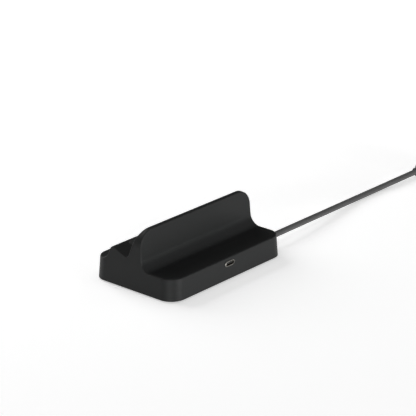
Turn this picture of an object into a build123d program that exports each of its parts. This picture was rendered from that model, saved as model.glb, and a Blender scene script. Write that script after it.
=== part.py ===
"""A charging dock for a handheld console.

A moulded housing with a flat rear deck, a leaning backrest and a cradle in front of it stands on four feet. A
socket in its rear wall takes the power in, and a captive cable with a plug leaves its right-hand end. Sizes are in
millimetres. +Z is up, the rear is towards -Y, and the origin is on the table under the middle of the housing.
"""

import os
from math import cos, pi, radians, sin, tan

from build123d import *
from build123d.topology import topo_explore_connected_faces

# Housing, outside
length = 110.0             # along X at the lower edge
depth = 69.2               # along Y at the lower edge
corner_radius = 10.4       # the four upright corners
draft = 3.2                # degrees, on every upright wall
deck_height = 14.5         # rear and front decks above the lower edge
backrest_height = 39.6     # above the lower edge
backrest_rear = 7.4        # rear face of the backrest behind the middle, at deck level
backrest_top = 3.2         # thickness of the backrest along its top
backrest_corner = 11.0     # round upper corners of the backrest
cove_radius = 7.7          # hollow between each deck and the cradle
lean = 21.0                # degrees that the backrest's front face leans back
notch_height = 20.3        # cradle's inner corner above the lower edge
notch_radius = 1.5
seat_depth = 15.0          # from the cradle's inner corner to its nose
nose_radius = 3.2
edge_round = 0.7
foot_standoff = 0.8        # lower edge above the table

# Housing, inside
wall = 1.8
core_width = 2.0           # narrowest width of the hollow in the backrest
post_diameter = 6.0        # posts that take the cover's screws
post_inset_x = 10.0        # post centres from the housing's lower edge
post_inset_y = 9.0

# Bottom cover, its screws and the feet
cover_thickness = 2.0
cover_recess = 0.3         # cover's underside above the housing's lower edge
cover_counterbore = 1.0    # depth that takes a screw's head
cover_gap = 0.15
foot_diameter = 10.0
foot_pocket = 1.0
foot_inset_x = 21.0        # foot centres from the housing's lower edge
foot_inset_y = 12.0
foot_round = 0.4
fit_gap = 0.1              # between a piece and the pocket or hole that takes it

# Screws: shank, head diameter, head height and length under the head
cover_screw = (2.2, 4.0, 0.9, 7.0)
board_screw = (1.6, 3.2, 0.9, 4.0)
clamp_screw = (2.0, 3.6, 1.0, 5.6)
thread_gap = 0.03          # between a shank and its hole
drive_depth = 0.5
drive_share = 0.55         # drive recess as a share of the head's diameter

# Socket in the rear wall
port_height = 10.4         # socket's middle above the housing's lower edge
port_size = (8.94, 3.26)   # outside of its metal shell
port_metal = 0.3
port_length = 7.4
port_proud = 0.4           # shell's mouth beyond the rear face
port_lip = 0.25            # round on the mouth's outer edge
port_window_gap = 0.15
tongue_size = (6.7, 0.7)
tongue_setback = 0.9       # tongue's tip inside the shell's mouth
port_block = 2.2           # moulded block at the back of the shell

# Circuit board
board_size = (40.0, 22.0, 1.2)
board_gap = 0.5            # board's rear edge to the rear wall
board_post_diameter = 4.4
board_hole_inset = 3.0
chip_size = (5.0, 5.0, 0.9)
chip_place = (-8.0, 13.0)  # from the socket's middle, and from the board's rear edge

# Cable, its clamp and its strain relief
cable_diameter = 4.0
cable_gap = 0.1            # around the cable in its clamp and strain relief
cable_route = [
    (31.0, -19.46, 7.5),
    (75.0, -19.46, 7.5),
    (119.0, -15.56, 5.0),
    (152.0, -12.28, 2.9),
    (178.0, -11.03, 2.1),
    (196.0, -11.5, 2.4),
    (212.0, -12.83, 3.25),
    (235.3, -12.83, 3.25),
]
arc_share = 0.45           # of the shorter run beside a corner of the route
wire_count = 4
wire_diameter = 0.8
wire_pitch = 0.9
wire_bend = 0.6
wire_reach = 4.0           # solder points inside the board's edge
wire_offset = 1.347        # solder points in front of the board's middle
clamp_width = 15.0         # across the cable
clamp_length = 6.0         # along the cable
clamp_setback = 16.8       # clamp's middle from the end wall's inside
clamp_split = 0.4          # between clamp and saddle
clamp_under = 1.2          # web under and beside the cable
clamp_ear = 1.6
clamp_screw_offset = 5.2   # from the cable's middle
relief_neck = 6.0          # diameter through the housing's end wall
relief_flange = (8.0, 1.2)
relief_collar = (7.2, 1.6)
relief_tip = (5.4, 5.0)    # diameter and length of the tapered part
relief_spot = 0.4          # flat sunk into the end wall for the collar

# Plug on the cable's far end
boot_diameters = (6.0, 6.3)
boot_length = 7.0
plug_grip = (20.0, 11.0, 6.3)
plug_round = 2.2
plug_edge = 0.8
plug_shell_size = (8.25, 2.4)
plug_metal = 0.3
plug_nose = 6.65           # shell beyond the grip
plug_root = 3.0            # shell inside the grip
plug_slot = (6.9, 0.8, 5.4)

# Pads
pad_thickness = 1.6
pad_recess = 0.8
pad_length = 84.0
pad_corner = 2.5
pad_edge = 0.4
backrest_pad_height = 12.5
backrest_pad_middle = 11.5  # up the backrest from the cradle's inner corner
seat_pad_depth = 8.6
seat_pad_middle = 7.2      # along the seat from the cradle's inner corner

# Worked out from the sizes above
lower = foot_standoff
slope = tan(radians(draft))
rise = tan(radians(lean))
deck_z = lower + deck_height
top_z = lower + backrest_height
notch_z = lower + notch_height
crest_front = -backrest_rear + (top_z - deck_z) * slope + backrest_top
notch = Vector(0, crest_front + (top_z - notch_z) * rise, notch_z)
seat_way = Vector(0, cos(radians(lean)), sin(radians(lean)))
backrest_way = Vector(0, -sin(radians(lean)), cos(radians(lean)))
cover_bottom = lower + cover_recess
cover_top = cover_bottom + cover_thickness
post_x = length / 2 - post_inset_x
post_y = depth / 2 - post_inset_y
foot_x = length / 2 - foot_inset_x
foot_y = depth / 2 - foot_inset_y
sharp_angle = 10           # degrees between faces, above which an edge is rounded

os.makedirs("parts", exist_ok=True)


def level(inset):
    """An inset measured level instead of square to a drafted wall."""
    return inset / cos(radians(draft))


def rear_wall(z, inset):
    """Y of the rear wall's face at the height z, moved inwards by inset."""
    return -depth / 2 + level(inset) + (z - lower) * slope


def end_wall(z, inset):
    """X of the right-hand end wall's face at the height z, moved inwards by inset."""
    return length / 2 - level(inset) - (z - lower) * slope


def backrest_faces(z, inset):
    """Y of the backrest's rear and front faces at the height z, moved inwards by inset."""
    rear = -backrest_rear + (z - deck_z) * slope + level(inset)
    front = notch.Y - (z - notch.Z) * rise - inset / cos(radians(lean))
    return rear, front


def cradle_form(inset, top):
    """The housing's form, moved inwards by inset and closed at the height top."""
    deck = deck_z - inset
    rim = rear_wall(deck, inset)
    rear, front = backrest_faces(top, inset)
    inner = notch - (seat_way + backrest_way) * inset
    nose = inner + seat_way * seat_depth
    section = [
        ((rear_wall(lower, inset), lower), 0),
        ((rim, deck), 0),
        ((backrest_faces(deck, inset)[0], deck), cove_radius + inset),
        ((rear, top), 0),
        ((front, top), 0),
        ((inner.Y, inner.Z), notch_radius + inset),
        ((nose.Y, nose.Z), nose_radius - inset),
        ((nose.Y + (nose.Z - deck) * rise, deck), cove_radius + inset),
        ((-rim, deck), 0),
        ((-rear_wall(lower, inset), lower), 0),
    ]
    foot_end = end_wall(lower, inset)
    top_end = end_wall(top, inset)
    elevation = [
        ((-foot_end, lower), 0),
        ((-top_end, top), backrest_corner - inset),
        ((top_end, top), backrest_corner - inset),
        ((foot_end, lower), 0),
    ]
    with BuildPart() as form:
        for plane, outline, reach, mode in (
            (Plane.XZ, elevation, depth, Mode.ADD),
            (Plane.YZ, section, length, Mode.INTERSECT),
        ):
            with BuildSketch(plane):
                with BuildLine():
                    FilletPolyline([p for p, r in outline], radius=[r for p, r in outline], close=True)
                make_face()
            extrude(amount=reach, both=True, mode=mode)
        corners = form.edges().sort_by(lambda edge: Vector(edge.center().X, edge.center().Y).length)[-4:]
        fillet(corners, corner_radius - inset)
    return form.part


def is_sharp(edge):
    """True for an edge above the lower edge whose two faces meet at an angle."""
    middle = edge @ 0.5
    one, other = (Face(face).normal_at(middle) for face in topo_explore_connected_faces(edge))
    return edge.bounding_box().max.Z > deck_z - edge_round and one.get_angle(other) > sharp_angle


def screws(name, size, places, seat_z):
    """Pan-head screws that point up, with the underside of each head at seat_z."""
    shank, head, head_height, under = size
    with BuildPart() as made:
        for x, y in places:
            with BuildSketch(Plane.XY.offset(seat_z - head_height)):
                with Locations((x, y)):
                    Circle(head / 2)
            extrude(amount=head_height)
            with BuildSketch(Plane.XY.offset(seat_z)):
                with Locations((x, y)):
                    Circle(shank / 2)
            extrude(amount=under)
            with BuildSketch(Plane.XY.offset(seat_z - head_height)):
                with Locations((x, y)):
                    RegularPolygon(head * drive_share / 2, 6)
            extrude(amount=drive_depth, mode=Mode.SUBTRACT)
    made.part.label = name
    export_step(made.part, f"parts/{name}.step")
    return made.part


# Places of the socket, the board, the clamp and the strain relief
port_z = lower + port_height
port_mouth = rear_wall(port_z, 0) - port_proud
board_top = port_z - port_size[1] / 2
board_bottom = board_top - board_size[2]
board_rear = rear_wall(board_top, wall) + board_gap
board_middle = board_rear + board_size[1] / 2
board_places = [
    (side * (board_size[0] / 2 - board_hole_inset), board_middle + row * (board_size[1] / 2 - board_hole_inset))
    for side in (-1, 1)
    for row in (-1, 1)
]
cable_start = Vector(*cable_route[0])
clamp_x = end_wall(cable_start.Z, wall) - clamp_setback
clamp_places = [(clamp_x, cable_start.Y + side * clamp_screw_offset) for side in (-1, 1)]
saddle_z = cable_start.Z + clamp_split / 2
clamp_top = cable_start.Z - clamp_split / 2
cable_bore = cable_diameter / 2 + cable_gap
relief_outer = end_wall(cable_start.Z, 0) - relief_spot
relief_inner = end_wall(cable_start.Z, wall) - relief_spot
cover_places = [(x * post_x, y * post_y) for x in (-1, 1) for y in (-1, 1)]
backrest_plane = Plane(origin=notch, x_dir=(-1, 0, 0), z_dir=seat_way)
seat_plane = Plane(origin=notch, x_dir=(1, 0, 0), z_dir=backrest_way)
pads = {
    "backrest_pad": (backrest_plane, backrest_pad_middle, backrest_pad_height),
    "seat_pad": (seat_plane, seat_pad_middle, seat_pad_depth),
}

# Housing: outer form with its rounded edges, the hollow inside, and the posts that hang from its deck
with BuildPart() as outer:
    add(cradle_form(0, top_z))
    fillet(outer.edges().filter_by(is_sharp), edge_round)

core_room = backrest_faces(deck_z, wall)[1] - backrest_faces(deck_z, wall)[0] - core_width
core_top = min(deck_z + core_room / (rise + slope), top_z - wall)
hollow = cradle_form(wall, core_top)

with BuildPart() as posts:
    for places, diameter, start in (
        (cover_places, post_diameter, cover_top),
        (board_places, board_post_diameter, board_top),
    ):
        with BuildSketch(Plane.XY.offset(start)):
            with Locations(*places):
                Circle(diameter / 2)
        extrude(amount=backrest_height)
    with BuildSketch(Plane.XY.offset(saddle_z)):
        with Locations((clamp_x, cable_start.Y)):
            Rectangle(clamp_length, clamp_width)
    extrude(amount=backrest_height)
    with BuildSketch(Plane.YZ.offset(relief_inner)):
        with Locations((cable_start.Y, cable_start.Z)):
            Circle(relief_flange[0] / 2)
    extrude(amount=wall)
    add(outer.part, mode=Mode.INTERSECT)

with BuildPart() as housing:
    add(outer.part)
    add(hollow, mode=Mode.SUBTRACT)
    add(posts.part)
    # Window for the socket
    with BuildSketch(Plane.XZ.offset(depth / 2)):
        with Locations((0, port_z)):
            SlotOverall(port_size[0] + 2 * port_window_gap, port_size[1] + 2 * port_window_gap)
    extrude(amount=-(board_rear + depth / 2), mode=Mode.SUBTRACT)
    # Hole for the strain relief, with a flat for its collar, and the groove of the saddle
    for start, diameter, reach in (
        (relief_inner, relief_neck + 2 * fit_gap, length),
        (relief_outer, relief_collar[0] + 2 * fit_gap, length),
        (clamp_x - clamp_length, 2 * cable_bore, 2 * clamp_length),
    ):
        with BuildSketch(Plane.YZ.offset(start)):
            with Locations((cable_start.Y, cable_start.Z)):
                Circle(diameter / 2)
        extrude(amount=reach, mode=Mode.SUBTRACT)
    # Holes that the screws cut their threads in
    for places, size, seat, through in (
        (cover_places, cover_screw, cover_top, cover_thickness - cover_counterbore),
        (board_places, board_screw, board_top, board_size[2]),
        (clamp_places, clamp_screw, saddle_z, clamp_split + clamp_ear),
    ):
        with BuildSketch(Plane.XY.offset(seat)):
            with Locations(*places):
                Circle(size[0] / 2 + thread_gap)
        extrude(amount=size[3] - through + fit_gap, mode=Mode.SUBTRACT)
    # Recesses for the pads
    for plane, middle, width in pads.values():
        with BuildSketch(plane):
            with Locations((0, middle)):
                RectangleRounded(pad_length + 2 * fit_gap, width + 2 * fit_gap, pad_corner + fit_gap)
        extrude(amount=-pad_recess, mode=Mode.SUBTRACT)
housing.part.label = "housing"
export_step(housing.part, "parts/housing.step")

# Bottom cover: sits inside the housing's lower edge, against the posts
with BuildPart() as bottom_cover:
    with BuildSketch(Plane.XY.offset(cover_bottom)):
        RectangleRounded(
            2 * (end_wall(cover_top, wall) - cover_gap),
            -2 * (rear_wall(cover_top, wall) + cover_gap),
            corner_radius - wall - cover_gap,
        )
    extrude(amount=cover_thickness)
    with BuildSketch(Plane.XY.offset(cover_bottom)):
        with Locations(*cover_places):
            Circle(cover_screw[0] / 2 + fit_gap)
    extrude(amount=cover_thickness, mode=Mode.SUBTRACT)
    with BuildSketch(Plane.XY.offset(cover_bottom)):
        with Locations(*cover_places):
            Circle(cover_screw[1] / 2 + fit_gap)
    extrude(amount=cover_counterbore, mode=Mode.SUBTRACT)
    with BuildSketch(Plane.XY.offset(cover_bottom)):
        with GridLocations(2 * foot_x, 2 * foot_y, 2, 2):
            Circle(foot_diameter / 2 + fit_gap)
    extrude(amount=foot_pocket, mode=Mode.SUBTRACT)
bottom_cover.part.label = "bottom_cover"
export_step(bottom_cover.part, "parts/bottom_cover.step")

screws("cover_screws", cover_screw, cover_places, cover_bottom + cover_counterbore)

# Feet: rubber discs bonded into the cover's pockets
for foot_name, side, row in (
    ("foot_front_left", -1, 1),
    ("foot_front_right", 1, 1),
    ("foot_rear_left", -1, -1),
    ("foot_rear_right", 1, -1),
):
    with BuildPart() as foot:
        with BuildSketch():
            with Locations((side * foot_x, row * foot_y)):
                Circle(foot_diameter / 2)
        extrude(amount=cover_bottom + foot_pocket)
        fillet(foot.edges().group_by(Axis.Z)[0], foot_round)
    foot.part.label = foot_name
    export_step(foot.part, f"parts/{foot_name}.step")

# Circuit board, hung from its posts
with BuildPart() as circuit_board:
    with BuildSketch(Plane.XY.offset(board_bottom)):
        with Locations((0, board_middle)):
            Rectangle(board_size[0], board_size[1])
        with Locations(*board_places):
            Circle(board_screw[0] / 2 + fit_gap, mode=Mode.SUBTRACT)
    extrude(amount=board_size[2])
circuit_board.part.label = "circuit_board"
export_step(circuit_board.part, "parts/circuit_board.step")

screws("board_screws", board_screw, board_places, board_bottom)

with BuildPart() as charge_controller:
    with BuildSketch(Plane.XY.offset(board_top)):
        with Locations((chip_place[0], board_rear + chip_place[1])):
            Rectangle(chip_size[0], chip_size[1])
    extrude(amount=chip_size[2])
charge_controller.part.label = "charge_controller"
export_step(charge_controller.part, "parts/charge_controller.step")

# Socket: a drawn metal shell and the moulded tongue inside it
port_inside = (port_size[0] - 2 * port_metal, port_size[1] - 2 * port_metal)
with BuildPart() as port_shell:
    with BuildSketch(Plane.XZ.offset(-port_mouth)):
        with Locations((0, port_z)):
            SlotOverall(*port_size)
            SlotOverall(*port_inside, mode=Mode.SUBTRACT)
    extrude(amount=-port_length)
    fillet(port_shell.faces().sort_by(Axis.Y)[0].outer_wire().edges(), port_lip)
port_shell.part.label = "port_shell"
export_step(port_shell.part, "parts/port_shell.step")

with BuildPart() as port_tongue:
    with BuildSketch(Plane.XZ.offset(-port_mouth - port_length)):
        with Locations((0, port_z)):
            SlotOverall(*port_inside)
    extrude(amount=port_block)
    with BuildSketch(Plane.XZ.offset(-port_mouth - tongue_setback)):
        with Locations((0, port_z)):
            Rectangle(*tongue_size)
    extrude(amount=-(port_length - tongue_setback))
port_tongue.part.label = "port_tongue"
export_step(port_tongue.part, "parts/port_tongue.step")

# Cable clamp: a bar with thin ears, screwed up against the saddle
with BuildPart() as cable_clamp:
    clamp_block = cable_diameter / 2 - clamp_split / 2 + clamp_under
    with BuildSketch(Plane.XY.offset(clamp_top)):
        with Locations((clamp_x, cable_start.Y)):
            Rectangle(clamp_length, clamp_width)
        with Locations(*clamp_places):
            Circle(clamp_screw[0] / 2 + fit_gap, mode=Mode.SUBTRACT)
    extrude(amount=-clamp_ear)
    with BuildSketch(Plane.XY.offset(clamp_top)):
        with Locations((clamp_x, cable_start.Y)):
            Rectangle(clamp_length, cable_diameter + 2 * clamp_under)
    extrude(amount=-clamp_block)
    with BuildSketch(Plane.YZ.offset(clamp_x - clamp_length)):
        with Locations((cable_start.Y, cable_start.Z)):
            Circle(cable_bore)
    extrude(amount=2 * clamp_length, mode=Mode.SUBTRACT)
cable_clamp.part.label = "cable_clamp"
export_step(cable_clamp.part, "parts/cable_clamp.step")

screws("clamp_screws", clamp_screw, clamp_places, clamp_top - clamp_ear)

# Strain relief: a rubber sleeve with a flange inside the end wall and a tapered tip outside
with BuildPart() as strain_relief:
    collar_end = relief_outer + relief_collar[1]
    profile = [
        (relief_inner - relief_flange[1], cable_bore),
        (relief_inner - relief_flange[1], relief_flange[0] / 2),
        (relief_inner, relief_flange[0] / 2),
        (relief_inner, relief_neck / 2),
        (relief_outer, relief_neck / 2),
        (relief_outer, relief_collar[0] / 2),
        (collar_end, relief_collar[0] / 2),
        (collar_end + relief_tip[1], relief_tip[0] / 2),
        (collar_end + relief_tip[1], cable_bore),
    ]
    cable_plane = Plane(origin=(0, cable_start.Y, cable_start.Z), x_dir=(1, 0, 0), z_dir=(0, -1, 0))
    with BuildSketch(cable_plane):
        with BuildLine():
            Polyline(*profile, close=True)
        make_face()
    revolve(axis=Axis((0, cable_start.Y, cable_start.Z), (1, 0, 0)))
strain_relief.part.label = "strain_relief"
export_step(strain_relief.part, "parts/strain_relief.step")

# Cable: straight runs joined by the largest arcs that the runs allow
runs = [Vector(*b) - Vector(*a) for a, b in zip(cable_route, cable_route[1:])]
cable_radii = [
    arc_share * min(a.length, b.length) / tan(radians(a.get_angle(b)) / 2) for a, b in zip(runs, runs[1:])
]
print("cable radii", [round(radius) for radius in cable_radii])
with BuildPart() as cable:
    with BuildLine() as cable_line:
        FilletPolyline(*cable_route, radius=cable_radii)
    with BuildSketch(Plane(origin=cable_start, z_dir=runs[0])):
        Circle(cable_diameter / 2)
    sweep()
cable.part.label = "cable"
export_step(cable.part, "parts/cable.step")
cable_length = sum(edge.length for edge in cable_line.edges())
cable_section = pi * cable_diameter ** 2 / 4
print("cable length", round(cable_length, 1), "volume over section", round(cable.part.volume / cable_section, 1))

# Lead wires: from the cable's inner end to solder points under the board
wire_rows = [(i - (wire_count - 1) / 2) * wire_pitch for i in range(wire_count)]
with BuildPart() as lead_wires:
    solder_x = board_size[0] / 2 - wire_reach
    solder_y = board_middle + wire_offset
    for row in wire_rows:
        start = cable_start + Vector(0, row, 0)
        with BuildLine():
            FilletPolyline(
                start,
                (solder_x, solder_y + row, start.Z),
                (solder_x, solder_y + row, board_bottom),
                radius=wire_bend,
            )
        with BuildSketch(Plane(origin=start, z_dir=(-1, 0, 0))):
            Circle(wire_diameter / 2)
        sweep()
lead_wires.part.label = "lead_wires"
export_step(lead_wires.part, "parts/lead_wires.step")

# Plug: a moulded grip with a boot, a metal shell and the insulator inside the shell
plug_start = Vector(*cable_route[-1])
grip_start = plug_start.X + boot_length
grip_end = grip_start + plug_grip[0]
plug_place = (plug_start.Y, plug_start.Z)
plug_inside = (plug_shell_size[0] - 2 * plug_metal, plug_shell_size[1] - 2 * plug_metal)
with BuildPart() as plug_body:
    with BuildSketch(Plane.YZ.offset(grip_start)):
        with Locations(plug_place):
            RectangleRounded(plug_grip[1], plug_grip[2], plug_round)
    extrude(amount=plug_grip[0])
    fillet(plug_body.faces().sort_by(Axis.X)[0].edges(), plug_edge)
    fillet(plug_body.faces().sort_by(Axis.X)[-1].edges(), plug_edge)
    for x, diameter in zip((plug_start.X, grip_start), boot_diameters):
        with BuildSketch(Plane.YZ.offset(x)):
            with Locations(plug_place):
                Circle(diameter / 2)
    loft()
    with BuildSketch(Plane.YZ.offset(grip_end - plug_root)):
        with Locations(plug_place):
            SlotOverall(*plug_shell_size)
    extrude(amount=plug_root, mode=Mode.SUBTRACT)
plug_body.part.label = "plug_body"
export_step(plug_body.part, "parts/plug_body.step")

with BuildPart() as plug_shell:
    with BuildSketch(Plane.YZ.offset(grip_end - plug_root)):
        with Locations(plug_place):
            SlotOverall(*plug_shell_size)
            SlotOverall(*plug_inside, mode=Mode.SUBTRACT)
    extrude(amount=plug_root + plug_nose)
plug_shell.part.label = "plug_shell"
export_step(plug_shell.part, "parts/plug_shell.step")

with BuildPart() as plug_insert:
    with BuildSketch(Plane.YZ.offset(grip_end - plug_root)):
        with Locations(plug_place):
            SlotOverall(*plug_inside)
    extrude(amount=plug_root + plug_nose - plug_metal)
    with BuildSketch(Plane.YZ.offset(grip_end + plug_nose - plug_metal)):
        with Locations(plug_place):
            Rectangle(plug_slot[0], plug_slot[1])
    extrude(amount=-plug_slot[2], mode=Mode.SUBTRACT)
plug_insert.part.label = "plug_insert"
export_step(plug_insert.part, "parts/plug_insert.step")

# Pads: soft strips bonded into their recesses, standing proud of the backrest and the seat
for pad_name, (plane, middle, width) in pads.items():
    with BuildPart() as pad:
        with BuildSketch(plane.offset(-pad_recess)):
            with Locations((0, middle)):
                RectangleRounded(pad_length, width, pad_corner)
        extrude(amount=pad_thickness)
        proud = pad.faces().filter_by(plane).sort_by(Axis(plane.origin, plane.z_dir))[-1]
        fillet(proud.edges(), pad_edge)
    pad.part.label = pad_name
    export_step(pad.part, f"parts/{pad_name}.step")
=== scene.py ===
from math import pi, radians

import bpy
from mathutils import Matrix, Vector


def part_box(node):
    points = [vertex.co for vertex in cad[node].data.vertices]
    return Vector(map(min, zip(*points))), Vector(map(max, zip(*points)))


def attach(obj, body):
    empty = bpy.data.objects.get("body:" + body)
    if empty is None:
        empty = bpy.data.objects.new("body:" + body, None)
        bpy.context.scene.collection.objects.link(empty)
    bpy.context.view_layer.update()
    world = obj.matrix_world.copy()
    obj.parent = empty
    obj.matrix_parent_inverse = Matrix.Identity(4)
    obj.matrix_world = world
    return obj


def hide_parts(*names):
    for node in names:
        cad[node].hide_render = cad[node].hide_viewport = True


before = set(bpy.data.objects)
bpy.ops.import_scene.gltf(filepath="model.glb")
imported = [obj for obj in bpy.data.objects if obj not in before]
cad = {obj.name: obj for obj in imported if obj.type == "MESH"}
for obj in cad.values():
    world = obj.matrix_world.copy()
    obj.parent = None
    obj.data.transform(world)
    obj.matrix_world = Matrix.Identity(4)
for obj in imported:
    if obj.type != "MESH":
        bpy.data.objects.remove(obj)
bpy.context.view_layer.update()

# The nodes come in selected, and an operator acts on all that is selected.
bpy.ops.object.select_all(action="DESELECT")
scene = bpy.context.scene
scene.view_settings.view_transform = "Standard"

# Camera: a long lens that looks down on the dock from behind its left-hand end.
# The dock's straight edges in the photograph give its place, its tilt and its focal length.
camera_place = (-0.86710, -0.76446, 0.48491)
camera_tilt = 21.045
camera_turn = -49.192
focal_px = 1931.3
frame_px = 416
sensor_width = 36
bpy.ops.object.camera_add(
    location=camera_place,
    rotation=(radians(90 - camera_tilt), 0, radians(camera_turn)),
)
camera = bpy.context.object
camera.name = "photo_camera"
camera.data.sensor_width = sensor_width
camera.data.lens = sensor_width * focal_px / frame_px
scene.camera = camera

# Cable: a round charging lead with a soft grey jacket, extruded over its wires.
# It comes straight out of the strain relief, sinks to the table and ends in its plug.
# The curve's radius is its points' own, so that its box is the cable's and no larger.
cable_diameter = 0.004
cable_route = [
    (0.0310, -0.01946, 0.00750),
    (0.0750, -0.01946, 0.00750),
    (0.1190, -0.01556, 0.00500),
    (0.1520, -0.01228, 0.00290),
    (0.1780, -0.01103, 0.00210),
    (0.1960, -0.01150, 0.00240),
    (0.2120, -0.01283, 0.00325),
    (0.2353, -0.01283, 0.00325),
]
cable_line = bpy.data.curves.new("charging_cable", "CURVE")
cable_line.dimensions = "3D"
cable_spline = cable_line.splines.new("NURBS")
cable_spline.points.add(len(cable_route) - 1)
for point, place in zip(cable_spline.points, cable_route):
    point.co = (*place, 1)
    point.radius = cable_diameter / 2
cable_spline.order_u = 3
cable_spline.use_endpoint_u = True
cable_spline.resolution_u = 24
cable_line.bevel_depth = 1
cable_line.bevel_resolution = 8
cable_line.use_fill_caps = True
cable = bpy.data.objects.new("charging_cable", cable_line)
scene.collection.objects.link(cable)
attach(cable, "root")
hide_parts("cable")

# Jacket: the cable's grey thermoplastic elastomer, which extrusion leaves dull and faintly streaked.
# The streaks are 0.1 mm wide in life, and are drawn at 0.9 mm so that they show.
# As the first finish, it brings the functions for colours, materials and nodes.
streak_width = 0.0009
streak_stretch = 0.1


def linear(shade):
    """An sRGB hex colour as linear red, green, blue and alpha."""
    parts = [int(shade[i:i + 2], 16) / 255 for i in (1, 3, 5)]
    return (*[c / 12.92 if c <= 0.04045 else ((c + 0.055) / 1.055) ** 2.4 for c in parts], 1)


def new_finish(name):
    """A material with its nodes, its shader and the piece's own coordinates in metres."""
    made = bpy.data.materials.new(name)
    made.use_nodes = True
    nodes = made.node_tree.nodes
    coordinates = nodes.new("ShaderNodeTexCoord")
    return made, made.node_tree, nodes["Principled BSDF"], coordinates.outputs["Object"]


def add_node(tree, kind, settings, links):
    """Adds a node to a material, sets its values and links its inputs."""
    made = tree.nodes.new(kind)
    for name, value in settings.items():
        if isinstance(name, str) and hasattr(made, name):
            setattr(made, name, value)
        else:
            made.inputs[name].default_value = value
    for name, source in links.items():
        tree.links.new(source, made.inputs[name])
    return made


# The sockets of a colour mix have numbers: its factor, its two colours and what comes out.
mix_factor = 0
mix_first = 6
mix_second = 7
mix_colour = 2
jacket, tree, skin, place = new_finish("extruded_grey_tpe")
along = add_node(tree, "ShaderNodeMapping", {"Scale": (streak_stretch, 1, 1)}, {"Vector": place})
streaks = add_node(
    tree,
    "ShaderNodeTexNoise",
    {"Scale": 1 / streak_width, "Detail": 3},
    {"Vector": along.outputs["Vector"]},
)
shade = add_node(
    tree,
    "ShaderNodeMix",
    {"data_type": "RGBA", mix_first: linear("#454545"), mix_second: linear("#575757")},
    {mix_factor: streaks.outputs["Fac"]},
)
dull = add_node(
    tree,
    "ShaderNodeMapRange",
    {"To Min": 0.5, "To Max": 0.64},
    {"Value": streaks.outputs["Fac"]},
)
ripple = add_node(
    tree,
    "ShaderNodeBump",
    {"Strength": 0.2, "Distance": 0.00004},
    {"Height": streaks.outputs["Fac"]},
)
tree.links.new(shade.outputs[mix_colour], skin.inputs["Base Color"])
tree.links.new(dull.outputs["Result"], skin.inputs["Roughness"])
tree.links.new(ripple.outputs["Normal"], skin.inputs["Normal"])
skin.inputs["IOR"].default_value = 1.45
cable_line.materials.append(jacket)

# Housing: one shell of black ABS, moulded over a core and drafted so that it leaves the tool.
# The tool's spark erosion gives it a fine satin grain, and the melt leaves faint marks of its flow.
# The grain is 0.15 mm in life, and is drawn at 0.5 mm so that it shows.
housing_grain = 0.0005
housing_flow = 0.03
abs_satin, tree, skin, place = new_finish("satin_black_abs")
grain = add_node(
    tree,
    "ShaderNodeTexNoise",
    {"Scale": 1 / housing_grain, "Detail": 4, "Roughness": 0.6},
    {"Vector": place},
)
flow = add_node(tree, "ShaderNodeTexNoise", {"Scale": 1 / housing_flow, "Detail": 2}, {"Vector": place})
shade = add_node(
    tree,
    "ShaderNodeMix",
    {"data_type": "RGBA", mix_first: linear("#1d1e1e"), mix_second: linear("#212222")},
    {mix_factor: flow.outputs["Fac"]},
)
satin = add_node(
    tree,
    "ShaderNodeMapRange",
    {"To Min": 0.46, "To Max": 0.52},
    {"Value": flow.outputs["Fac"]},
)
bite = add_node(
    tree,
    "ShaderNodeBump",
    {"Strength": 0.5, "Distance": 0.0002},
    {"Height": grain.outputs["Fac"]},
)
tree.links.new(shade.outputs[mix_colour], skin.inputs["Base Color"])
tree.links.new(satin.outputs["Result"], skin.inputs["Roughness"])
tree.links.new(bite.outputs["Normal"], skin.inputs["Normal"])
skin.inputs["IOR"].default_value = 1.5
skin.inputs["Specular IOR Level"].default_value = 0.18
cad["housing"].material_slots[0].material = abs_satin

# Pads: two strips of soft silicone, die-cut and bonded into recesses of the backrest and the seat.
# Silicone is dull and slightly greyer than the plastic, and handling leaves a haze on it.
# Its pores are 0.1 mm wide in life, and are drawn at 0.4 mm so that they show.
pad_haze = 0.012
pad_pore = 0.0004
silicone, tree, skin, place = new_finish("die_cut_silicone")
haze = add_node(tree, "ShaderNodeTexNoise", {"Scale": 1 / pad_haze, "Detail": 5}, {"Vector": place})
pores = add_node(tree, "ShaderNodeTexNoise", {"Scale": 1 / pad_pore, "Detail": 2}, {"Vector": place})
shade = add_node(
    tree,
    "ShaderNodeMix",
    {"data_type": "RGBA", mix_first: linear("#262727"), mix_second: linear("#2f3030")},
    {mix_factor: haze.outputs["Fac"]},
)
dull = add_node(
    tree,
    "ShaderNodeMapRange",
    {"To Min": 0.62, "To Max": 0.78},
    {"Value": haze.outputs["Fac"]},
)
bite = add_node(
    tree,
    "ShaderNodeBump",
    {"Strength": 0.15, "Distance": 0.00002},
    {"Height": pores.outputs["Fac"]},
)
tree.links.new(shade.outputs[mix_colour], skin.inputs["Base Color"])
tree.links.new(dull.outputs["Result"], skin.inputs["Roughness"])
tree.links.new(bite.outputs["Normal"], skin.inputs["Normal"])
skin.inputs["IOR"].default_value = 1.41
for name in ("backrest_pad", "seat_pad"):
    cad[name].material_slots[0].material = silicone

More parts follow.
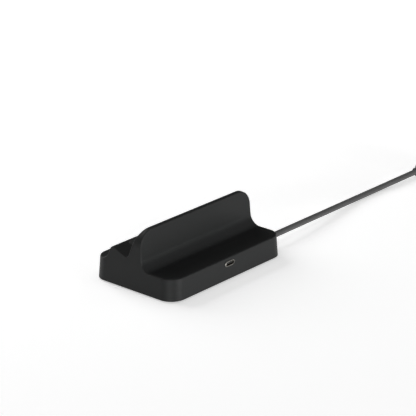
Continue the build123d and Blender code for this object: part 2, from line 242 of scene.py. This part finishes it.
# Socket and plug shells: thin steel, drawn to flat tubes and nickel plated.
# Drawing leaves faint lines along each tube, which spread its highlights.
# They are 0.1 mm apart in life, and are drawn at 0.25 mm so that they show.
shell_line = 0.00025
line_stretch = 0.08
tube_scales = {"port_shell": (1, line_stretch, 1), "plug_shell": (line_stretch, 1, 1)}
for name, tube_scale in tube_scales.items():
    nickel, tree, skin, place = new_finish("drawn_nickel_" + name)
    along = add_node(tree, "ShaderNodeMapping", {"Scale": tube_scale}, {"Vector": place})
    lines = add_node(
        tree,
        "ShaderNodeTexNoise",
        {"Scale": 1 / shell_line, "Detail": 3},
        {"Vector": along.outputs["Vector"]},
    )
    shade = add_node(
        tree,
        "ShaderNodeMix",
        {"data_type": "RGBA", mix_first: linear("#bdbab2"), mix_second: linear("#d2cfc8")},
        {mix_factor: lines.outputs["Fac"]},
    )
    polish = add_node(
        tree,
        "ShaderNodeMapRange",
        {"To Min": 0.2, "To Max": 0.36},
        {"Value": lines.outputs["Fac"]},
    )
    tree.links.new(shade.outputs[mix_colour], skin.inputs["Base Color"])
    tree.links.new(polish.outputs["Result"], skin.inputs["Roughness"])
    skin.inputs["Metallic"].default_value = 1
    cad[name].material_slots[0].material = nickel

# Socket tongue and plug insert: black heat-proof nylon, moulded round the contacts.
# Its glass fibres, up to 0.3 mm long, leave pale flecks in a semi-matt skin.
nylon_fibre = 0.0003
polymer, tree, skin, place = new_finish("fibre_filled_nylon")
fibres = add_node(
    tree,
    "ShaderNodeTexNoise",
    {"Scale": 1 / nylon_fibre, "Detail": 4, "Roughness": 0.7},
    {"Vector": place},
)
flecks = add_node(
    tree,
    "ShaderNodeMapRange",
    {"From Min": 0.55, "From Max": 0.75},
    {"Value": fibres.outputs["Fac"]},
)
shade = add_node(
    tree,
    "ShaderNodeMix",
    {"data_type": "RGBA", mix_first: linear("#101010"), mix_second: linear("#2a2a2a")},
    {mix_factor: flecks.outputs["Result"]},
)
dull = add_node(
    tree,
    "ShaderNodeMapRange",
    {"To Min": 0.45, "To Max": 0.6},
    {"Value": fibres.outputs["Fac"]},
)
tree.links.new(shade.outputs[mix_colour], skin.inputs["Base Color"])
tree.links.new(dull.outputs["Result"], skin.inputs["Roughness"])
for name in ("port_tongue", "plug_insert"):
    cad[name].material_slots[0].material = polymer

# Contacts: strips of phosphor bronze, stamped and gold plated, twelve on each side of the tongue.
# They are moulded into it half deep, and the edges of their faces are rounded.
# Gold over a stamped face is bright, and wears in soft patches 0.6 mm across.
contact_count = 12
contact_pitch = 0.0005
contact_width = 0.00025
contact_height = 0.00006
contact_length = 0.0042
contact_setback = 0.0004
contact_bevel = 0.45
contact_wear = 0.0006
tongue_thickness = 0.0007
tongue_low, tongue_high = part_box("port_tongue")
tongue_z = (tongue_low.z + tongue_high.z) / 2
contact_y = tongue_low.y + contact_setback + contact_length / 2
contact_z = tongue_z + tongue_thickness / 2
bpy.ops.mesh.primitive_cube_add(
    size=1,
    location=(-contact_pitch * (contact_count - 1) / 2, contact_y, contact_z),
    scale=(contact_width, contact_length, contact_height),
)
contacts = bpy.context.object
contacts.name = "port_contacts"
bpy.ops.object.transform_apply(location=True, rotation=True, scale=True)
bpy.ops.object.mode_set(mode="EDIT")
bpy.ops.mesh.select_mode(type="EDGE")
bpy.ops.mesh.select_all(action="DESELECT")
bpy.ops.object.mode_set(mode="OBJECT")
for edge in contacts.data.edges:
    ends = [contacts.data.vertices[i].co for i in edge.vertices]
    edge.select = all(end.z > contact_z for end in ends)
bpy.ops.object.mode_set(mode="EDIT")
bpy.ops.mesh.bevel(offset=contact_height * contact_bevel, segments=2)
bpy.ops.object.mode_set(mode="OBJECT")
row = contacts.modifiers.new("row", "ARRAY")
row.count = contact_count
row.use_relative_offset = False
row.use_constant_offset = True
row.constant_offset_displace = (contact_pitch, 0, 0)
bpy.ops.object.modifier_apply(modifier="row")
bpy.ops.object.mode_set(mode="EDIT")
bpy.ops.mesh.select_all(action="SELECT")
bpy.ops.mesh.duplicate()
bpy.ops.transform.rotate(
    value=pi, orient_axis="Y", orient_type="GLOBAL", center_override=(0, contact_y, tongue_z)
)
bpy.ops.object.mode_set(mode="OBJECT")
gold, tree, skin, place = new_finish("plated_gold")
wear = add_node(tree, "ShaderNodeTexNoise", {"Scale": 1 / contact_wear, "Detail": 3}, {"Vector": place})
shade = add_node(
    tree,
    "ShaderNodeMix",
    {"data_type": "RGBA", mix_first: linear("#c99b45"), mix_second: linear("#e3bf72")},
    {mix_factor: wear.outputs["Fac"]},
)
polish = add_node(
    tree,
    "ShaderNodeMapRange",
    {"To Min": 0.18, "To Max": 0.34},
    {"Value": wear.outputs["Fac"]},
)
tree.links.new(shade.outputs[mix_colour], skin.inputs["Base Color"])
tree.links.new(polish.outputs["Result"], skin.inputs["Roughness"])
skin.inputs["Metallic"].default_value = 1
contacts.data.materials.append(gold)
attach(contacts, "root")

# Circuit board: glass-fibre laminate under green solder mask, hung from four posts inside the housing.
# The mask is glossy and dips a little between the threads of the glass cloth, 0.6 mm apart.
# Copper under the mask shows as paler lines round fields of 2 by 1 mm.
board_thread = 0.0006
board_field = 0.002
brick_width = 0.5
laminate, tree, skin, place = new_finish("green_solder_mask")
cloth = add_node(tree, "ShaderNodeTexChecker", {"Scale": 1 / board_thread}, {"Vector": place})
copper = add_node(
    tree,
    "ShaderNodeTexBrick",
    {
        "Scale": brick_width / board_field,
        "Brick Width": brick_width,
        "Mortar Size": 0.06,
        "Color1": linear("#0f3f2a"),
        "Color2": linear("#124831"),
        "Mortar": linear("#1d6b49"),
    },
    {"Vector": place},
)
dips = add_node(
    tree,
    "ShaderNodeBump",
    {"Strength": 0.2, "Distance": 0.00002},
    {"Height": cloth.outputs["Fac"]},
)
tree.links.new(copper.outputs["Color"], skin.inputs["Base Color"])
tree.links.new(dips.outputs["Normal"], skin.inputs["Normal"])
skin.inputs["Roughness"].default_value = 0.28
cad["circuit_board"].material_slots[0].material = laminate

# Charge controller: a chip in black moulded epoxy, soldered to the board.
# Grains of silica in the epoxy make it matt and speckled.
# They are under 0.1 mm in life, and are drawn at 0.15 mm so that they show.
chip_silica = 0.00015
epoxy, tree, skin, place = new_finish("moulded_epoxy")
silica = add_node(tree, "ShaderNodeTexVoronoi", {"Scale": 1 / chip_silica}, {"Vector": place})
shade = add_node(
    tree,
    "ShaderNodeMix",
    {"data_type": "RGBA", mix_first: linear("#151515"), mix_second: linear("#242424")},
    {mix_factor: silica.outputs["Distance"]},
)
tree.links.new(shade.outputs[mix_colour], skin.inputs["Base Color"])
skin.inputs["Roughness"].default_value = 0.7
cad["charge_controller"].material_slots[0].material = epoxy

# Screws: cold-headed steel in black zinc, turned up into the posts and into the clamp's saddle.
# The plating is thin, and shows paler steel in mottles 0.7 mm across.
screw_mottle = 0.0007
zinc, tree, skin, place = new_finish("black_zinc_steel")
mottle = add_node(
    tree,
    "ShaderNodeTexNoise",
    {"Scale": 1 / screw_mottle, "Detail": 5, "Roughness": 0.65},
    {"Vector": place},
)
shade = add_node(
    tree,
    "ShaderNodeMix",
    {"data_type": "RGBA", mix_first: linear("#2b2c2e"), mix_second: linear("#56575a")},
    {mix_factor: mottle.outputs["Fac"]},
)
polish = add_node(
    tree,
    "ShaderNodeMapRange",
    {"To Min": 0.3, "To Max": 0.5},
    {"Value": mottle.outputs["Fac"]},
)
tree.links.new(shade.outputs[mix_colour], skin.inputs["Base Color"])
tree.links.new(polish.outputs["Result"], skin.inputs["Roughness"])
skin.inputs["Metallic"].default_value = 1
for name in ("board_screws", "clamp_screws", "cover_screws"):
    cad[name].material_slots[0].material = zinc

# Cable clamp: a small bar of glass-filled nylon that two screws pull up against the cable.
# The glass shows as pale flecks, half a millimetre long, in a dry, matt skin.
clamp_fleck = 0.0005
nylon, tree, skin, place = new_finish("glass_filled_nylon")
glass = add_node(
    tree,
    "ShaderNodeTexNoise",
    {"Scale": 1 / clamp_fleck, "Detail": 5, "Roughness": 0.75},
    {"Vector": place},
)
flecks = add_node(
    tree,
    "ShaderNodeMapRange",
    {"From Min": 0.5, "From Max": 0.7},
    {"Value": glass.outputs["Fac"]},
)
shade = add_node(
    tree,
    "ShaderNodeMix",
    {"data_type": "RGBA", mix_first: linear("#242424"), mix_second: linear("#3c3c3b")},
    {mix_factor: flecks.outputs["Result"]},
)
bite = add_node(
    tree,
    "ShaderNodeBump",
    {"Strength": 0.3, "Distance": 0.00003},
    {"Height": glass.outputs["Fac"]},
)
tree.links.new(shade.outputs[mix_colour], skin.inputs["Base Color"])
tree.links.new(bite.outputs["Normal"], skin.inputs["Normal"])
skin.inputs["Roughness"].default_value = 0.62
cad["cable_clamp"].material_slots[0].material = nylon

# Lead wires: four tinned conductors in red, white, green and black PVC, soldered under the board.
# A wire's colour goes by its place across the cable, where the wires lie 0.9 mm apart.
# Each colour ends at a share of the way across all four.
red_end = 0.24
white_end = 0.5
green_end = 0.76
insulation, tree, skin, place = new_finish("wire_pvc")
wire_low, wire_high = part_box("lead_wires")
across = add_node(tree, "ShaderNodeSeparateXYZ", {}, {"Vector": place})
turn = add_node(
    tree,
    "ShaderNodeMapRange",
    {"From Min": wire_low.y, "From Max": wire_high.y},
    {"Value": across.outputs["Y"]},
)
colours = add_node(tree, "ShaderNodeValToRGB", {}, {"Fac": turn.outputs["Result"]})
ramp = colours.color_ramp
ramp.interpolation = "CONSTANT"
ramp.elements[0].color = linear("#9a2420")
ramp.elements[1].position = red_end
ramp.elements[1].color = linear("#d6d3c9")
ramp.elements.new(white_end).color = linear("#2c6b3c")
ramp.elements.new(green_end).color = linear("#1c1c1c")
tree.links.new(colours.outputs["Color"], skin.inputs["Base Color"])
skin.inputs["Roughness"].default_value = 0.42
cad["lead_wires"].material_slots[0].material = insulation

# Strain relief: a sleeve of black elastomer, moulded with a flange that locks in the end wall.
# It is softer and duller than the housing, with a faint bloom in patches 2 mm across.
relief_bloom = 0.002
elastomer, tree, skin, place = new_finish("moulded_black_tpe")
bloom = add_node(
    tree,
    "ShaderNodeTexNoise",
    {"Scale": 1 / relief_bloom, "Detail": 5},
    {"Vector": place},
)
shade = add_node(
    tree,
    "ShaderNodeMix",
    {"data_type": "RGBA", mix_first: linear("#171717"), mix_second: linear("#222222")},
    {mix_factor: bloom.outputs["Fac"]},
)
dull = add_node(
    tree,
    "ShaderNodeMapRange",
    {"To Min": 0.55, "To Max": 0.72},
    {"Value": bloom.outputs["Fac"]},
)
tree.links.new(shade.outputs[mix_colour], skin.inputs["Base Color"])
tree.links.new(dull.outputs["Result"], skin.inputs["Roughness"])
skin.inputs["IOR"].default_value = 1.47
cad["strain_relief"].material_slots[0].material = elastomer

# Bottom cover: a flat plate of black ABS, which four screws hold up inside the housing's lower edge.
# Its grain is coarser than the housing's, so that it hides scuffs.
# The grain is 0.3 mm in life, and is drawn at 0.8 mm so that it shows.
cover_grain = 0.0008
abs_coarse, tree, skin, place = new_finish("coarse_black_abs")
grain = add_node(
    tree,
    "ShaderNodeTexNoise",
    {"Scale": 1 / cover_grain, "Detail": 5, "Roughness": 0.7},
    {"Vector": place},
)
shade = add_node(
    tree,
    "ShaderNodeMix",
    {"data_type": "RGBA", mix_first: linear("#191a1a"), mix_second: linear("#252626")},
    {mix_factor: grain.outputs["Fac"]},
)
bite = add_node(
    tree,
    "ShaderNodeBump",
    {"Strength": 0.35, "Distance": 0.00006},
    {"Height": grain.outputs["Fac"]},
)
tree.links.new(shade.outputs[mix_colour], skin.inputs["Base Color"])
tree.links.new(bite.outputs["Normal"], skin.inputs["Normal"])
skin.inputs["Roughness"].default_value = 0.58
cad["bottom_cover"].material_slots[0].material = abs_coarse

# Feet: four discs of black rubber, bonded into pockets of the cover.
# Their pebbled faces, with cells half a millimetre wide, grip the table.
foot_cell = 0.0005
rubber, tree, skin, place = new_finish("pebbled_rubber")
cells = add_node(tree, "ShaderNodeTexVoronoi", {"Scale": 1 / foot_cell}, {"Vector": place})
shade = add_node(
    tree,
    "ShaderNodeMix",
    {"data_type": "RGBA", mix_first: linear("#222222"), mix_second: linear("#151515")},
    {mix_factor: cells.outputs["Distance"]},
)
pebbles = add_node(
    tree,
    "ShaderNodeBump",
    {"Strength": 0.5, "Distance": 0.00005, "invert": True},
    {"Height": cells.outputs["Distance"]},
)
tree.links.new(shade.outputs[mix_colour], skin.inputs["Base Color"])
tree.links.new(pebbles.outputs["Normal"], skin.inputs["Normal"])
skin.inputs["Roughness"].default_value = 0.82
for name in ("foot_front_left", "foot_front_right", "foot_rear_left", "foot_rear_right"):
    cad[name].material_slots[0].material = rubber

# Plug grip: grey elastomer, moulded over the plug's shell and the cable's end.
# A fine eroded grain makes it a little paler and duller than the cable.
# The grain is 0.15 mm in life, and is drawn at 0.4 mm so that it shows.
grip_grain = 0.0004
overmould, tree, skin, place = new_finish("overmoulded_grey_tpe")
grain = add_node(
    tree,
    "ShaderNodeTexNoise",
    {"Scale": 1 / grip_grain, "Detail": 4, "Roughness": 0.6},
    {"Vector": place},
)
shade = add_node(
    tree,
    "ShaderNodeMix",
    {"data_type": "RGBA", mix_first: linear("#4c4c4c"), mix_second: linear("#5c5c5c")},
    {mix_factor: grain.outputs["Fac"]},
)
dull = add_node(
    tree,
    "ShaderNodeMapRange",
    {"To Min": 0.52, "To Max": 0.66},
    {"Value": grain.outputs["Fac"]},
)
bite = add_node(
    tree,
    "ShaderNodeBump",
    {"Strength": 0.2, "Distance": 0.00003},
    {"Height": grain.outputs["Fac"]},
)
tree.links.new(shade.outputs[mix_colour], skin.inputs["Base Color"])
tree.links.new(dull.outputs["Result"], skin.inputs["Roughness"])
tree.links.new(bite.outputs["Normal"], skin.inputs["Normal"])
skin.inputs["IOR"].default_value = 1.45
cad["plug_body"].material_slots[0].material = overmould

# Floor: white studio paper, lit by the lamps. The camera's rays, and those that shine or pass through,
# see a plain white glow added to it, so that it looks white and keeps the whole of its shadow.
# Away from the dock, where the lamps' light fades, the glow makes up for it.
floor_size = 12
floor_glow = 0.49
far_glow = 0.88
lit_radius = 0.35
unlit_radius = 1.15
bpy.ops.mesh.primitive_plane_add(size=floor_size)
floor = bpy.context.object
floor.name = "floor"
paper, tree, skin, place = new_finish("white_studio_paper")
skin.inputs["Base Color"].default_value = linear("#fafafa")
skin.inputs["Roughness"].default_value = 0.9
skin.inputs["Specular IOR Level"].default_value = 0
path = add_node(tree, "ShaderNodeLightPath", {}, {})
mirrored = add_node(
    tree,
    "ShaderNodeMath",
    {"operation": "MAXIMUM"},
    {0: path.outputs["Is Glossy Ray"], 1: path.outputs["Is Transmission Ray"]},
)
seen = add_node(
    tree,
    "ShaderNodeMath",
    {"operation": "MAXIMUM"},
    {0: path.outputs["Is Camera Ray"], 1: mirrored.outputs["Value"]},
)
away = add_node(tree, "ShaderNodeVectorMath", {"operation": "LENGTH"}, {0: place})
level = add_node(
    tree,
    "ShaderNodeMapRange",
    {
        "interpolation_type": "SMOOTHSTEP",
        "From Min": lit_radius,
        "From Max": unlit_radius,
        "To Min": floor_glow,
        "To Max": far_glow,
    },
    {"Value": away.outputs["Value"]},
)
share = add_node(
    tree,
    "ShaderNodeMath",
    {"operation": "MULTIPLY"},
    {0: seen.outputs["Value"], 1: level.outputs["Result"]},
)
glow = add_node(
    tree,
    "ShaderNodeEmission",
    {"Color": linear("#ffffff")},
    {"Strength": share.outputs["Value"]},
)
both = add_node(
    tree,
    "ShaderNodeAddShader",
    {},
    {0: skin.outputs["BSDF"], 1: glow.outputs["Emission"]},
)
tree.links.new(both.outputs["Shader"], tree.nodes["Material Output"].inputs["Surface"])
floor.data.materials.append(paper)

# Studio: a wide softbox overhead, strip boxes low behind the dock and at its left, and two fills.
# Each has its azimuth and elevation in degrees, distance and sides in metres, and power in watts.
# The room round them is a dim grey, so that no shade is quite black.
for name, azimuth, elevation, distance, width, height, power in (
    ("top_softbox", 0, 90, 2.0, 2.0, 2.0, 8.6),
    ("rear_strip", 6, 3, 1.2, 0.2, 0.12, 9.6),
    ("left_strip", -60, 3, 1.2, 0.2, 0.12, 5.3),
    ("right_fill", 78, 38, 1.2, 0.9, 0.7, 0.9),
    ("front_fill", 180, 35, 1.2, 1.0, 0.8, 8),
):
    bpy.ops.object.light_add(type="AREA", rotation=(radians(90 - elevation), 0, radians(azimuth)))
    lamp = bpy.context.object
    lamp.name = name
    lamp.location = lamp.rotation_euler.to_matrix() @ Vector((0, 0, distance))
    lamp.data.shape = "RECTANGLE"
    lamp.data.size = width
    lamp.data.size_y = height
    lamp.data.energy = power
    lamp.visible_camera = False

room_strength = 0.02
room = bpy.data.worlds.new("grey_room")
room.use_nodes = True
background = room.node_tree.nodes["Background"]
background.inputs["Color"].default_value = linear("#ffffff")
background.inputs["Strength"].default_value = room_strength
scene.world = room
